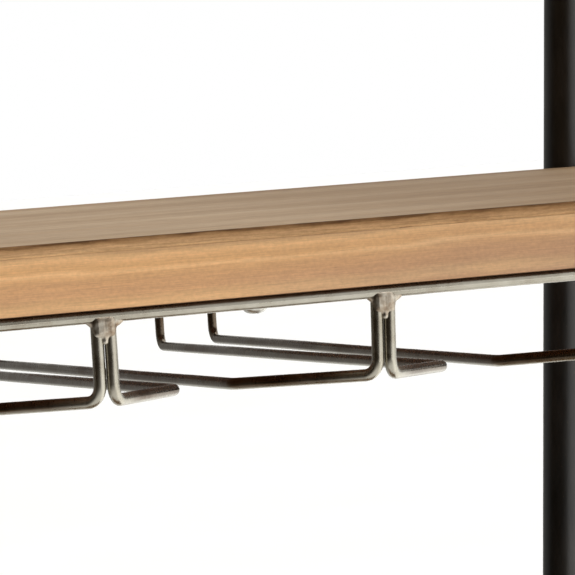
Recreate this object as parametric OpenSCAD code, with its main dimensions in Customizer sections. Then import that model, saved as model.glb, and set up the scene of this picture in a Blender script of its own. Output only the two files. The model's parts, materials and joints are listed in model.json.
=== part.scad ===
// Two-tier bar cart on swivel casters, with a wire stemware rack under the upper shelf.
// X runs along the cart, -Y is the front with the rack's mouths, +Z is up.
// The origin is on the floor, under the centre of the cart.

/* [Shelves] */
// Length of the upper shelf board
shelf_length = 720; // [700:5:730]
// Depth of both shelf boards
shelf_depth = 400; // [380:5:420]
// Thickness of both shelf boards
shelf_thickness = 22; // [20:1:28]
// Thickness of the glued top layer of each board
face_thickness = 4; // [3:0.5:6]
// Height of the upper shelf's surface above the floor
upper_shelf_height = 740; // [700:10:780]
// Height of the lower shelf's surface above the floor
lower_shelf_height = 190; // [180:5:240]

/* [End hoops] */
// Outer diameter of the hoop tube
tube_diameter = 19; // [18:0.5:22]
// Wall thickness of the hoop tube
tube_wall = 1.5; // [1.2:0.1:2]
// Outward lean of each hoop, in degrees
hoop_lean = 4; // [2:0.5:4.5]
// Half the distance between the hoops at the upper shelf's surface
hoop_half_span = 338; // [334:1:342]
// Height of the push handle's centre line
handle_height = 890; // [860:5:920]
// Centre-line radius of the handle's bends
handle_bend = 60; // [45:5:80]

/* [Cross members] */
// Diameter of the bearer tubes that carry the boards
bearer_diameter = 16; // [14:1:18]
// Diameter of the guard rail rods
guard_diameter = 6; // [5:0.5:8]
// Height of the guard rail above the lower shelf
guard_height = 70; // [50:5:90]

/* [Stemware rack] */
// Diameter of the rack's wires and rods
wire_diameter = 4; // [3.5:0.25:4.5]
// Number of glass slots; a wire pair stands between two slots, and a single wire at each end
slot_count = 4; // [2:2:6]
// Distance from one wire pair to the next
pair_pitch = 94; // [90:1:95]
// Sideways distance from a pair's centre to each of its rails
rail_offset = 36; // [33:1:38]
// Depth of the funnel mouth of each slot
mouth_depth = 46; // [35:1:60]
// Drop from the front rod's underside to the foot of a pair's front verticals
rack_drop = 24.5; // [22:0.5:32]
// How much lower the mouth's outer corners hang than the foot of the front verticals
mouth_dip = 3.2; // [0:0.1:5]
// Extra drop of the rails at the back, which keeps glasses from sliding out
rack_fall = 16; // [6:1:18]

/* [Casters] */
// Diameter of the tyre
wheel_diameter = 75; // [70:1:76]
// Width of the tyre
wheel_width = 24; // [20:1:24]
// Distance from the swivel axis to the wheel axle
caster_trail = 28; // [24:1:32]
// Diameter of the caster's threaded stem
stem_diameter = 10; // [8:1:12]
// Number of balls in each swivel race
ball_count = 12; // [8:1:14]

/* [Hidden] */
$fn = 64;

CORNERS = ["front_left", "front_right", "back_left", "back_right"];
BRAKED = ["front_left", "front_right"];
SIDES = ["left", "right"];
FRAME_NODES = [
    "upper_shelf_core", "upper_shelf_face", "lower_shelf_core", "lower_shelf_face",
    "guard_rail_front", "guard_rail_back", "rack_rod_front", "rack_rod_back",
    "rack_tabs", "rack_screws", "shelf_screws", "foot_inserts"
];
SIDE_PARTS = ["end_hoop", "upper_bearer", "lower_bearer", "guard_rail", "rack_end_wire"];
CASTER_PARTS = ["caster_stem", "caster_balls", "caster_fork", "caster_axle", "wheel_rim", "wheel_tyre"];
BRAKE_PARTS = ["brake_pedal", "brake_pin"];

// Colours
WOOD = [0.72, 0.54, 0.37];
WOOD_FACE = [0.62, 0.50, 0.38];
DARK_STEEL = [0.13, 0.12, 0.11];
RAW_STEEL = [0.55, 0.52, 0.48];
ZINC = [0.70, 0.71, 0.72];
RUBBER = [0.10, 0.10, 0.10];
RIM_GREY = [0.28, 0.28, 0.28];

// Fits
contact_gap = 0.05;
running_gap = 0.05;
thread_gap = 0.05;

// Boards and the members under them
upper_underside = upper_shelf_height - shelf_thickness;
lower_underside = lower_shelf_height - shelf_thickness;
lean_slope = tan(hoop_lean);
function hoop_x(z) = hoop_half_span - (upper_shelf_height - z) * lean_slope;
board_overhang = shelf_length / 2 - hoop_half_span;
lower_length = 2 * (hoop_x(lower_shelf_height) + board_overhang);
board_chamfer = 4;
post_y = shelf_depth / 2 + tube_diameter / 2 + 0.3;
bearer_wall = 1.5;
upper_bearer_z = upper_underside - bearer_diameter / 2 - contact_gap;
lower_bearer_z = lower_underside - bearer_diameter / 2 - contact_gap;
guard_z = lower_shelf_height + guard_height;

// Screws
screw_shank = 4;
screw_hole = 4.6;
pilot_hole = 4.1;
screw_bite = 14;
pilot_depth = 15;
bearer_screw_y = [-150, 0, 150];
bearer_screw_head = 8;
bearer_screw_head_height = 3;
tab_screw_head = 9;
tab_screw_head_height = 3.6;

// Stemware rack
rod_z = upper_underside - wire_diameter / 2 - contact_gap;
rod_front_y = -shelf_depth / 2 + 3.4;
rod_back_y = shelf_depth / 2 - 5.6;
rod_underside = rod_z - wire_diameter / 2;
rail_front_z = rod_underside - rack_drop;
rail_back_z = rail_front_z - rack_fall;
wire_side_gap = 0.2;
wire_stand = wire_diameter / 2 + wire_side_gap / 2;
wire_bend = 5.5;
bend_swell = 0.08;
bend_lap = 0.5;
tab_width = 16;
tab_length = 18;
tab_thickness = 2.5;
tab_screw_inset = 10;
tab_x = [-2.5 * pair_pitch, -0.575 * pair_pitch, 0.575 * pair_pitch, 2.5 * pair_pitch];
function pair_x(k) = (k - slot_count / 2) * pair_pitch;

// Caster heights, measured from the floor
wheel_radius = wheel_diameter / 2;
crown_z = wheel_diameter + 9;
crown_thickness = 3;
ring_z = crown_z + crown_thickness;
ring_top = ring_z + 3;
race_gap = 2;
cap_z = ring_top + race_gap;
cap_top = cap_z + 4;
insert_height = 22;
post_foot_z = cap_top + insert_height;
foot_x = hoop_x(cap_top + insert_height / 2);

// Caster parts
stem_length = 18;
crown_diameter = 46;
ring_diameter = 30;
cap_diameter = 38;
kingpin_diameter = 8;
kingpin_head = 15;
kingpin_head_height = 4;
ball_diameter = 4;
ball_circle = 23;
fork_gap = wheel_width / 2 + 2;
fork_plate = 3;
leg_end = 24;
axle_bolt = 6;
sleeve_diameter = 10;
hub_width = 2 * fork_gap - 2;
hub_diameter = 22;
rim_diameter = 57;
rim_width = 19;
web_thickness = 6;
insert_diameter = 24;
spigot_length = 18;

// Brake
brake_pivot_x = -54.4;
brake_pivot_z = 76;
brake_pin = 5;
brake_boss = 11;
pedal_width = 2 * fork_gap - 3;
brake_ear = 13;

function unit(v) = v / norm(v);

// Turns +Z to point along v.
module aim(v) {
    rotate([0, acos(v.z / norm(v)), atan2(v.y, v.x)]) children();
}

// A round bar from point a to point b.
module bar(a, b, diameter) {
    translate(a) aim(b - a) cylinder(h = norm(b - a), d = diameter);
}

// Angle turned by the path at point p[i], and the straight length its bend takes up on each side.
function turn_at(p, i) = acos(unit(p[i] - p[i - 1]) * unit(p[i + 1] - p[i]));
function setback(p, i, radius) =
    (i == 0 || i == len(p) - 1) ? 0 : radius * tan(turn_at(p, i) / 2);

// The bend of a round wire at point p[i] of its path.
module wire_bend_at(p, i, radius, diameter) {
    incoming = unit(p[i] - p[i - 1]);
    outgoing = unit(p[i + 1] - p[i]);
    inward = unit(outgoing - incoming * (outgoing * incoming));
    centre = p[i] - incoming * setback(p, i, radius) + inward * radius;
    across = -inward;
    normal = cross(across, incoming);
    multmatrix([
        [across.x, incoming.x, normal.x, centre.x],
        [across.y, incoming.y, normal.y, centre.y],
        [across.z, incoming.z, normal.z, centre.z],
        [0, 0, 0, 1]
    ]) rotate_extrude(angle = turn_at(p, i)) translate([radius, 0]) circle(d = diameter + bend_swell);
}

// A wire that follows the path p, with every corner bent to the same radius.
// Each straight runs a little way into its bends, which are a touch thicker, as a bent wire is.
module bent_wire(p, radius, diameter) {
    for (i = [0 : len(p) - 2]) {
        along = unit(p[i + 1] - p[i]);
        start_lap = i == 0 ? 0 : bend_lap;
        end_lap = i == len(p) - 2 ? 0 : bend_lap;
        bar(
            p[i] + along * (setback(p, i, radius) - start_lap),
            p[i + 1] - along * (setback(p, i + 1, radius) - end_lap),
            diameter
        );
    }
    for (i = [1 : len(p) - 2]) wire_bend_at(p, i, radius, diameter);
}

// Puts children on the left or right side; they are drawn for the right side.
module on_side(side) {
    if (side == "left") mirror([1, 0, 0]) children();
    else children();
}

// Leans children with the right-hand hoop, about its axis at the upper shelf's surface.
module with_lean() {
    translate([hoop_half_span, 0, upper_shelf_height]) rotate([0, hoop_lean, 0]) children();
}

// ---- Shelves ----

// A board's outline with clipped corners.
module board_outline(length) {
    x = length / 2;
    y = shelf_depth / 2;
    c = board_chamfer;
    polygon([
        [-x + c, -y], [x - c, -y], [x, -y + c], [x, y - c],
        [x - c, y], [-x + c, y], [-x, y - c], [-x, -y + c]
    ]);
}

// Pilot holes in a board's underside, at bearers bearer_x either side of the centre.
module bearer_pilot_holes(underside, bearer_x) {
    for (x = [-bearer_x, bearer_x])
        for (y = bearer_screw_y)
            translate([x, y, underside - 1]) cylinder(h = pilot_depth + 1, d = pilot_hole);
}

module shelf_core(underside, length, bearer_z) {
    difference() {
        translate([0, 0, underside])
            linear_extrude(shelf_thickness - face_thickness - contact_gap) board_outline(length);
        bearer_pilot_holes(underside, hoop_x(bearer_z));
    }
}

module shelf_face(surface, length) {
    color(WOOD_FACE)
        translate([0, 0, surface - face_thickness])
            linear_extrude(face_thickness) board_outline(length);
}

module upper_shelf_core() {
    color(WOOD) difference() {
        shelf_core(upper_underside, shelf_length, upper_bearer_z);
        at_tabs() translate([0, 0, -1]) cylinder(h = pilot_depth + 1, d = pilot_hole);
    }
}

module lower_shelf_core() {
    color(WOOD) shelf_core(lower_underside, lower_length, lower_bearer_z);
}

// ---- Hoops and cross members ----

// The centre line of a hoop, as drawn upright, cleared of or filled to a diameter.
module hoop_run(diameter, extra) {
    top = handle_height - upper_shelf_height;
    foot = -upper_shelf_height + post_foot_z - 6 - extra;
    for (s = [-1, 1])
        translate([0, s * post_y, foot]) cylinder(h = top - handle_bend - foot, d = diameter);
    translate([0, post_y - handle_bend, top])
        rotate([90, 0, 0]) cylinder(h = 2 * (post_y - handle_bend), d = diameter);
    for (s = [-1, 1])
        translate([0, s * (post_y - handle_bend), top - handle_bend])
            rotate([90, 0, 90])
                rotate([0, 0, s > 0 ? 0 : 90])
                    rotate_extrude(angle = 90) translate([handle_bend, 0]) circle(d = diameter);
}

module end_hoop(side) {
    color(DARK_STEEL) on_side(side) difference() {
        with_lean() difference() {
            hoop_run(tube_diameter, 0);
            hoop_run(tube_diameter - 2 * tube_wall, 1);
        }
        translate([0, -shelf_depth, post_foot_z - 60])
            cube([shelf_length, 2 * shelf_depth, 60 + contact_gap]);
    }
}

// The two posts of a hoop as solid bars, a little oversize, for coping members that meet them.
module post_cope() {
    with_lean()
        for (s = [-1, 1])
            translate([0, s * post_y, -upper_shelf_height])
                cylinder(h = upper_shelf_height + 20, d = tube_diameter + 2 * contact_gap);
}

module bearer(side, z) {
    color(DARK_STEEL) on_side(side) difference() {
        translate([hoop_x(z), post_y, z]) rotate([90, 0, 0]) cylinder(h = 2 * post_y, d = bearer_diameter);
        translate([hoop_x(z), post_y + 1, z])
            rotate([90, 0, 0]) cylinder(h = 2 * post_y + 2, d = bearer_diameter - 2 * bearer_wall);
        post_cope();
        for (y = bearer_screw_y)
            translate([hoop_x(z), y, z - bearer_diameter]) cylinder(h = 2 * bearer_diameter, d = screw_hole);
    }
}

module guard_rail_end(side) {
    color(DARK_STEEL) on_side(side) difference() {
        bar([hoop_x(guard_z), -post_y, guard_z], [hoop_x(guard_z), post_y, guard_z], guard_diameter);
        post_cope();
    }
}

// A long guard rail; y_sign is -1 for the front and 1 for the back.
module guard_rail_long(y_sign) {
    reach = hoop_x(guard_z);
    color(DARK_STEEL) difference() {
        bar([-reach, y_sign * post_y, guard_z], [reach, y_sign * post_y, guard_z], guard_diameter);
        for (side = SIDES) on_side(side) post_cope();
    }
}

// A turned plug in each post's foot, bored and threaded for the caster's stem.
module foot_inserts() {
    color(DARK_STEEL)
        for (side = SIDES)
            for (s = [-1, 1])
                on_side(side) difference() {
                    union() {
                        translate([foot_x, s * post_y, cap_top]) cylinder(h = insert_height, d = insert_diameter);
                        intersection() {
                            with_lean() translate([0, s * post_y, -upper_shelf_height + post_foot_z - 10])
                                cylinder(h = spigot_length + 10, d = tube_diameter - 2 * tube_wall - 2 * contact_gap);
                            translate([0, -shelf_depth, post_foot_z - 4]) cube([shelf_length, 2 * shelf_depth, 60]);
                        }
                    }
                    translate([foot_x, s * post_y, cap_top - 1])
                        cylinder(h = stem_length + 2, d = stem_diameter + 2 * thread_gap);
                }
}

// A round-headed screw along +Z; its head's top is at the origin's level and its shank rises from there.
module screw(shank_length, head, head_height) {
    cap_radius = (head * head / 4 + head_height * head_height) / (2 * head_height);
    cylinder(h = shank_length, d = screw_shank);
    intersection() {
        translate([0, 0, cap_radius - head_height]) sphere(r = cap_radius);
        translate([0, 0, -head_height - 1]) cylinder(h = head_height + 1, d = head + 1);
    }
}

module shelf_screws() {
    length = bearer_diameter + screw_bite;
    color(ZINC)
        for (z = [upper_bearer_z, lower_bearer_z])
            for (x = [-hoop_x(z), hoop_x(z)])
                for (y = bearer_screw_y)
                    translate([x, y, z - bearer_diameter / 2])
                        screw(length, bearer_screw_head, bearer_screw_head_height);
}

// ---- Stemware rack ----

// Puts children at each tab's screw, at the level of the upper board's underside.
module at_tabs() {
    for (x = tab_x)
        for (y = [rod_front_y + tab_screw_inset, rod_back_y - tab_screw_inset])
            translate([x, y, upper_underside]) children();
}

module rack_rod(y) {
    reach = hoop_x(upper_bearer_z);
    color(RAW_STEEL) difference() {
        bar([-reach, y, rod_z], [reach, y, rod_z], wire_diameter);
        for (x = [-reach, reach])
            translate([x, shelf_depth, upper_bearer_z])
                rotate([90, 0, 0]) cylinder(h = 2 * shelf_depth, d = bearer_diameter + 2 * contact_gap);
    }
}

// Small plates welded inside the rods, which the screws hold up against the board.
module rack_tabs() {
    inner = wire_diameter / 2 + contact_gap;
    color(RAW_STEEL)
        for (x = tab_x)
            for (s = [-1, 1]) {
                rod_y = s < 0 ? rod_front_y : rod_back_y;
                start_y = s < 0 ? rod_y + inner : rod_y - inner - tab_length;
                difference() {
                    translate([x - tab_width / 2, start_y, upper_underside - contact_gap - tab_thickness])
                        cube([tab_width, tab_length, tab_thickness]);
                    translate([x, rod_y - s * tab_screw_inset, upper_underside - 2 * tab_thickness])
                        cylinder(h = 4 * tab_thickness, d = screw_hole);
                }
            }
}

module rack_screws() {
    seat = contact_gap + tab_thickness;
    color(ZINC) at_tabs() translate([0, 0, -seat - contact_gap])
        screw(seat + screw_bite, tab_screw_head, tab_screw_head_height);
}

// One wire of a pair: down from the front rod, out along the mouth, back along the rail, up to the back rod.
module rack_wire(s) {
    path = [
        [s * wire_stand, rod_front_y, rod_underside - contact_gap],
        [s * wire_stand, rod_front_y, rail_front_z],
        [s * rail_offset, rod_front_y + mouth_depth, rail_front_z - mouth_dip],
        [s * rail_offset, rod_back_y, rail_back_z],
        [s * rail_offset, rod_back_y, rod_underside - contact_gap]
    ];
    bent_wire(path, wire_bend, wire_diameter);
}

module rack_pair(k) {
    color(RAW_STEEL) translate([pair_x(k), 0, 0]) for (s = [-1, 1]) rack_wire(s);
}

// The single wire at an end of the rack, with its rail towards the rack's middle.
module rack_end_wire(side) {
    color(RAW_STEEL) on_side(side) translate([pair_x(slot_count), 0, 0]) rack_wire(-1);
}

// ---- Casters: drawn with the swivel axis on Z, the wheel trailing towards -X ----

// Puts a caster under a post; at rest the wheels trail outwards, with their bolt heads outermost.
module at_corner(corner) {
    left = corner == "front_left" || corner == "back_left";
    front = corner == "front_left" || corner == "front_right";
    translate([left ? -foot_x : foot_x, front ? -post_y : post_y, 0])
        mirror([left ? 0 : 1, 0, 0]) mirror([0, front ? 0 : 1, 0]) children();
}

module ball_groove(z) {
    translate([0, 0, z]) rotate_extrude()
        translate([ball_circle / 2, 0]) circle(d = ball_diameter + 2 * running_gap);
}

ball_z = (ring_top + cap_z) / 2;

// Threaded stem, upper race and kingpin, which stay with the frame.
module caster_stem() {
    color(ZINC) difference() {
        union() {
            translate([0, 0, cap_z]) cylinder(h = cap_top - cap_z - contact_gap, d = cap_diameter);
            translate([0, 0, cap_z]) cylinder(h = cap_top - cap_z + stem_length, d = stem_diameter);
            translate([0, 0, crown_z - 1]) cylinder(h = cap_z - crown_z + 2, d = kingpin_diameter);
            translate([0, 0, crown_z - 0.3 - kingpin_head_height])
                cylinder(h = kingpin_head_height, d = kingpin_head);
        }
        ball_groove(ball_z);
    }
}

module caster_balls() {
    color(ZINC)
        for (i = [0 : ball_count - 1])
            rotate([0, 0, i * 360 / ball_count])
                translate([ball_circle / 2, 0, ball_z]) sphere(d = ball_diameter);
}

// One side plate of the fork, in its own X-Z plane, 1 mm of it standing into the crown.
module fork_leg_outline(braked) {
    top = crown_z + 1;
    polygon([
        [16, top], [16, crown_z - 8], [-caster_trail + leg_end / 2 - 1, wheel_radius - 4],
        [-caster_trail - leg_end / 2 + 1, wheel_radius + 2], [-26, crown_z - 10], [-20, top]
    ]);
    translate([-caster_trail, wheel_radius]) circle(d = leg_end);
    if (braked) {
        polygon([
            [-18, top], [-18, crown_z - 24], [-44, brake_pivot_z - 8],
            [brake_pivot_x, brake_pivot_z - brake_ear / 2 + 1],
            [brake_pivot_x, brake_pivot_z + brake_ear / 2 - 1], [-30, top]
        ]);
        translate([brake_pivot_x, brake_pivot_z]) circle(d = brake_ear);
    }
}

module caster_fork(braked) {
    width = 2 * (fork_gap + fork_plate);
    color(ZINC) difference() {
        union() {
            translate([0, 0, crown_z]) cylinder(h = crown_thickness, d = crown_diameter);
            translate([-20, -width / 2, crown_z]) cube([36, width, crown_thickness]);
            translate([0, 0, ring_z - 1]) cylinder(h = ring_top - ring_z + 1, d = ring_diameter);
            for (y = [fork_gap + fork_plate, -fork_gap])
                translate([0, y, 0]) rotate([90, 0, 0]) linear_extrude(fork_plate) fork_leg_outline(braked);
        }
        translate([0, 0, crown_z - 2]) cylinder(h = 20, d = kingpin_diameter + 2 * running_gap);
        ball_groove(ball_z);
        translate([-caster_trail, width, wheel_radius])
            rotate([90, 0, 0]) cylinder(h = 2 * width, d = axle_bolt + 2 * thread_gap);
        if (braked)
            translate([brake_pivot_x, width, brake_pivot_z])
                rotate([90, 0, 0]) cylinder(h = 2 * width, d = brake_pin + 2 * thread_gap);
    }
}

// Draws children along +Y from the wheel's centre plane, on the wheel's axle.
module on_axle() {
    translate([-caster_trail, 0, wheel_radius]) rotate([-90, 0, 0]) children();
}

// Axle bolt, its nut, and the sleeve that the fork clamps and the hub turns on.
module caster_axle() {
    outer = fork_gap + fork_plate;
    color(ZINC) on_axle() {
        translate([0, 0, -outer]) cylinder(h = 2 * outer + 8, d = axle_bolt);
        translate([0, 0, -outer - contact_gap - 4.5]) cylinder(h = 4.5, d = 11.5, $fn = 6);
        difference() {
            translate([0, 0, outer + contact_gap]) cylinder(h = 5.5, d = 11.5, $fn = 6);
            cylinder(h = 2 * outer, d = axle_bolt + 2 * thread_gap);
        }
        difference() {
            translate([0, 0, -fork_gap + contact_gap])
                cylinder(h = 2 * (fork_gap - contact_gap), d = sleeve_diameter);
            translate([0, 0, -outer]) cylinder(h = 2 * outer, d = axle_bolt + 2 * thread_gap);
        }
    }
}

module wheel_rim() {
    lightening_holes = 6;
    color(RIM_GREY) on_axle() difference() {
        union() {
            translate([0, 0, -hub_width / 2]) cylinder(h = hub_width, d = hub_diameter);
            translate([0, 0, -web_thickness / 2]) cylinder(h = web_thickness, d = rim_diameter - 4);
            difference() {
                translate([0, 0, -rim_width / 2]) cylinder(h = rim_width, d = rim_diameter);
                translate([0, 0, -rim_width]) cylinder(h = 2 * rim_width, d = rim_diameter - 8);
            }
        }
        translate([0, 0, -hub_width]) cylinder(h = 2 * hub_width, d = sleeve_diameter + 2 * running_gap);
        for (i = [0 : lightening_holes - 1])
            rotate([0, 0, i * 360 / lightening_holes])
                translate([(hub_diameter + rim_diameter - 8) / 4, 0, -web_thickness])
                    cylinder(h = 2 * web_thickness, d = 8);
    }
}

module wheel_tyre() {
    shoulder = 3.5;
    inner = rim_diameter / 2 + contact_gap;
    half = wheel_width / 2;
    color(RUBBER) on_axle() rotate_extrude() polygon([
        [inner, -rim_width / 2], [inner + 3, -half], [wheel_radius - shoulder, -half],
        [wheel_radius - 1, -half + shoulder - 1], [wheel_radius, -half + shoulder + 2],
        [wheel_radius, half - shoulder - 2], [wheel_radius - 1, half - shoulder + 1],
        [wheel_radius - shoulder, half], [inner + 3, half], [inner, rim_width / 2]
    ]);
}

// The pedal, with the shoe that presses on the tyre when the pedal is pushed down.
module brake_pedal() {
    color(DARK_STEEL) difference() {
        union() {
            translate([0, pedal_width / 2, 0]) rotate([90, 0, 0]) linear_extrude(pedal_width) {
                translate([brake_pivot_x, brake_pivot_z]) circle(d = brake_boss);
                polygon([
                    [brake_pivot_x - 1, brake_pivot_z + brake_boss / 2 - 0.5],
                    [-72, 79], [-84, 72], [-86, 69], [-84, 67.5], [-72, 74], [-66, 72],
                    [-68, 60.5], [-63.5, 62.5], [brake_pivot_x - 1, brake_pivot_z - brake_boss / 2 + 0.5]
                ]);
            }
            translate([-84, -pedal_width / 2 - 4, 70]) rotate([0, -30, 0]) cube([13, pedal_width + 8, 3]);
        }
        translate([brake_pivot_x, pedal_width, brake_pivot_z])
            rotate([90, 0, 0]) cylinder(h = 2 * pedal_width, d = brake_pin + 2 * running_gap);
    }
}

module brake_pin_node() {
    reach = fork_gap + fork_plate;
    color(ZINC) translate([brake_pivot_x, 0, brake_pivot_z]) rotate([90, 0, 0]) {
        translate([0, 0, -reach - 1]) cylinder(h = 2 * reach + 2, d = brake_pin);
        for (z = [-reach - contact_gap - 1.5, reach + contact_gap])
            translate([0, 0, z]) cylinder(h = 1.5, d = brake_pin + 3);
    }
}

upper_shelf_core();
shelf_face(upper_shelf_height, shelf_length);  // upper_shelf_face
lower_shelf_core();
shelf_face(lower_shelf_height, lower_length);  // lower_shelf_face
guard_rail_long(-1);  // guard_rail_front
guard_rail_long(1);  // guard_rail_back
rack_rod(rod_front_y);  // rack_rod_front
rack_rod(rod_back_y);  // rack_rod_back
rack_tabs();
rack_screws();
shelf_screws();
foot_inserts();
for (side = SIDES) {
    end_hoop(side);
    bearer(side, upper_bearer_z);
    bearer(side, lower_bearer_z);
    guard_rail_end(side);
    rack_end_wire(side);
}
for (k = [1 : slot_count - 1]) {
    rack_pair(k);
}
for (corner = CORNERS) {
    braked = corner == BRAKED[0] || corner == BRAKED[1];
    at_corner(corner) caster_stem();
    at_corner(corner) caster_balls();
    at_corner(corner) caster_fork(braked);
    at_corner(corner) caster_axle();
    at_corner(corner) wheel_rim();
    at_corner(corner) wheel_tyre();
}
for (corner = BRAKED) {
    at_corner(corner) brake_pedal();
    at_corner(corner) brake_pin_node();
}
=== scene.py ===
"""Looks for the two-tier bar cart: wood boards, bent-wire stemware rack, dark hoops and swivel casters."""

import json
import math
import random

import bmesh
import bpy
from mathutils import Matrix, Vector, noise
from mathutils.geometry import delaunay_2d_cdt


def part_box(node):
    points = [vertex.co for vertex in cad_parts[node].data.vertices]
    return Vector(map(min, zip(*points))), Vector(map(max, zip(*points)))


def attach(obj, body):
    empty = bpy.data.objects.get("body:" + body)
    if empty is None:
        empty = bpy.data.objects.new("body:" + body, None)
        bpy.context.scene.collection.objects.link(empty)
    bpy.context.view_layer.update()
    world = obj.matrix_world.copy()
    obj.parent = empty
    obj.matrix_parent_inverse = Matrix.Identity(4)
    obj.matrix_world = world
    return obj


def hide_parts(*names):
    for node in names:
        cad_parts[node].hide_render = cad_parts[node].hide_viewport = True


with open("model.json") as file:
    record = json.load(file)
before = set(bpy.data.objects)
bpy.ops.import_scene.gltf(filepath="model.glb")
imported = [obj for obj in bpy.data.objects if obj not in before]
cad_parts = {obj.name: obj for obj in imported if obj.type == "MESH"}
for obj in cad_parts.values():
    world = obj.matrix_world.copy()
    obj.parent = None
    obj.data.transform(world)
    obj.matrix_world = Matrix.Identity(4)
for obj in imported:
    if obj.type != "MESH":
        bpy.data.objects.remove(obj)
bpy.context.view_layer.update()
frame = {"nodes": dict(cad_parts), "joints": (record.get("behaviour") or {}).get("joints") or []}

# ---- Sizes in metres, the same as the CAD source's ----
MM = 0.001
WIRE_RADIUS = 2.0 * MM
WIRE_STAND = 2.1 * MM
WIRE_BEND = 5.5 * MM
RAIL_OFFSET = 36.0 * MM
RACK_DROP = 24.5 * MM
RACK_FALL = 16.0 * MM
MOUTH_DIP = 3.2 * MM
MOUTH_DEPTH = 46.0 * MM
BOARD_CLIP = 4.0 * MM
HOOP_RADIUS = 9.5 * MM
HOOP_BEND = 60.0 * MM
HOOP_LEAN = math.radians(4.0)
HOOP_HALF_SPAN = 338 * MM
HANDLE_RISE = 150 * MM
BEARER_RADIUS = 8.0 * MM
GUARD_RADIUS = 3.0 * MM
TRAIL = 28.0 * MM
CROWN_Z = 84.0 * MM
FORK_GAP = 14.0 * MM
FORK_PLATE = 3.0 * MM
PAIRS = ["rack_pair_1", "rack_pair_2", "rack_pair_3"]
END_WIRES = {"rack_end_wire_left": 1, "rack_end_wire_right": -1}
CORNERS = ["front_left", "front_right", "back_left", "back_right"]

# In a caster's own X and Z, in mm from its swivel axis and the floor.
WHEEL_CENTRE = (-28, 37.5)
BRAKE_PIVOT = (-54.4, 76)

# How far inside its edge a board's flat cap starts, and how wide the cap's triangles are.
CAP_INSET = 2.2 * MM
CAP_SPACING = 14 * MM

# Fixes the wires' waves, which would otherwise follow the clock.
WAVE_SEED = 11

# Hand-made differences in mm. mouth and back move a wire's outer bend and riser along X;
# dip and fall lower them; shift and lean move a pair's top and foot along X.
HAND_BENDS = {
    ("rack_pair_2", 1): {"mouth": -0.2, "back": -1.5, "dip": -0.4, "fall": 2.5},
    ("rack_pair_3", -1): {"mouth": -1.8, "back": -4.6, "dip": -0.4, "fall": 0.5},
    ("rack_pair_3", 1): {"mouth": 0.5, "back": 0.0, "dip": 0.4, "fall": -0.6},
    ("rack_end_wire_right", -1): {"mouth": -0.7, "back": 2.8, "dip": 0.6, "fall": -1.8},
}
HAND_SHIFT = {"rack_pair_2": 1.2}
HAND_LEAN = {"rack_pair_2": -0.3, "rack_pair_3": -1.1}


# ---- Materials ----
def tone(red, green, blue):
    """A colour from 0 to 255 display values, as the linear colour a socket takes."""
    linear = []
    for value in (red / 255, green / 255, blue / 255):
        linear.append(value / 12.92 if value <= 0.04045 else ((value + 0.055) / 1.055) ** 2.4)
    return (*linear, 1.0)


def set_stops(ramp, stops):
    """Puts stops, each a place and a colour, on a colour ramp node."""
    elements = ramp.color_ramp.elements
    while len(elements) < len(stops):
        elements.new(0.5)
    for element, (place, colour) in zip(elements, stops):
        element.position = place
        element.color = colour


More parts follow.
